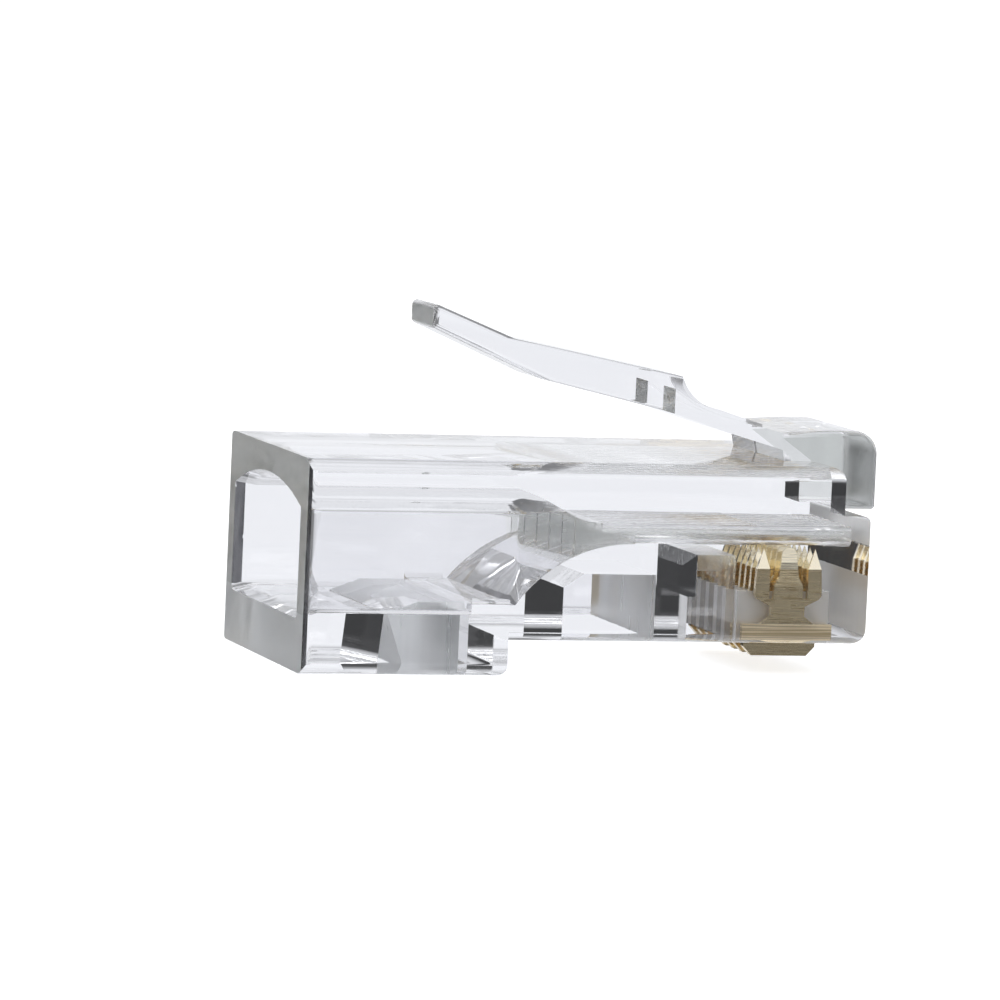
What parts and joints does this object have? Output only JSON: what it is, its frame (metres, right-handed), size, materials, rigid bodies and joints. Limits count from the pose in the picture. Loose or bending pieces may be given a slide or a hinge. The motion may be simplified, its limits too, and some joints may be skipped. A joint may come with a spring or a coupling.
{
  "type": "modular plug",
  "caption": "Clear moulded modular plug with a sprung latch, a crimp bar for the cable and gold contact blades.",
  "frame": {"origin": "middle of the plug's length and width, at the underside of the rear foot", "axes": "+X towards the nose that goes into the jack, +Z towards the latch, +Y across the plug"},
  "size_m": [0.023, 0.0116, 0.0135],
  "materials": {
    "clear_plastic": "water-clear polycarbonate, glossy",
    "gold_contact": "gold-plated bronze, brushed flats with bright sheared edges"
  },
  "bodies": {
    "housing": {"housing": "clear_plastic"},
    "latch_lever": {"latch_lever": "clear_plastic"},
    "jacket_strain_relief": {"jacket_strain_relief": "clear_plastic"},
    "contact_1": {"contact_1": "gold_contact"},
    "contact_2": {"contact_2": "gold_contact"},
    "contact_3": {"contact_3": "gold_contact"},
    "contact_4": {"contact_4": "gold_contact"},
    "contact_5": {"contact_5": "gold_contact"},
    "contact_6": {"contact_6": "gold_contact"},
    "contact_7": {"contact_7": "gold_contact"},
    "contact_8": {"contact_8": "gold_contact"}
  },
  "joints": [
    {"name": "latch_press", "type": "hinge", "parent": "housing", "child": "latch_lever", "pos_m": [0.00768, 0, 0.00841], "axis": [0, -1, 0], "range_deg": [0, 16], "stiffness_Nm_per_rad": 0.25},
    {"name": "jacket_bar_crimp", "type": "hinge", "parent": "housing", "child": "jacket_strain_relief", "pos_m": [-0.00496, 0, 0.0026], "axis": [0, 1, 0], "range_deg": [0, 28]},
    {"name": "contact_1_crimp", "type": "slide", "parent": "housing", "child": "contact_1", "axis": [0, 0, 1], "range_m": [0, 0.00115]},
    {"name": "contact_2_crimp", "type": "slide", "parent": "housing", "child": "contact_2", "axis": [0, 0, 1], "range_m": [0, 0.00115]},
    {"name": "contact_3_crimp", "type": "slide", "parent": "housing", "child": "contact_3", "axis": [0, 0, 1], "range_m": [0, 0.00115]},
    {"name": "contact_4_crimp", "type": "slide", "parent": "housing", "child": "contact_4", "axis": [0, 0, 1], "range_m": [0, 0.00115]},
    {"name": "contact_5_crimp", "type": "slide", "parent": "housing", "child": "contact_5", "axis": [0, 0, 1], "range_m": [0, 0.00115]},
    {"name": "contact_6_crimp", "type": "slide", "parent": "housing", "child": "contact_6", "axis": [0, 0, 1], "range_m": [0, 0.00115]},
    {"name": "contact_7_crimp", "type": "slide", "parent": "housing", "child": "contact_7", "axis": [0, 0, 1], "range_m": [0, 0.00115]},
    {"name": "contact_8_crimp", "type": "slide", "parent": "housing", "child": "contact_8", "axis": [0, 0, 1], "range_m": [0, 0.00115]}
  ]
}
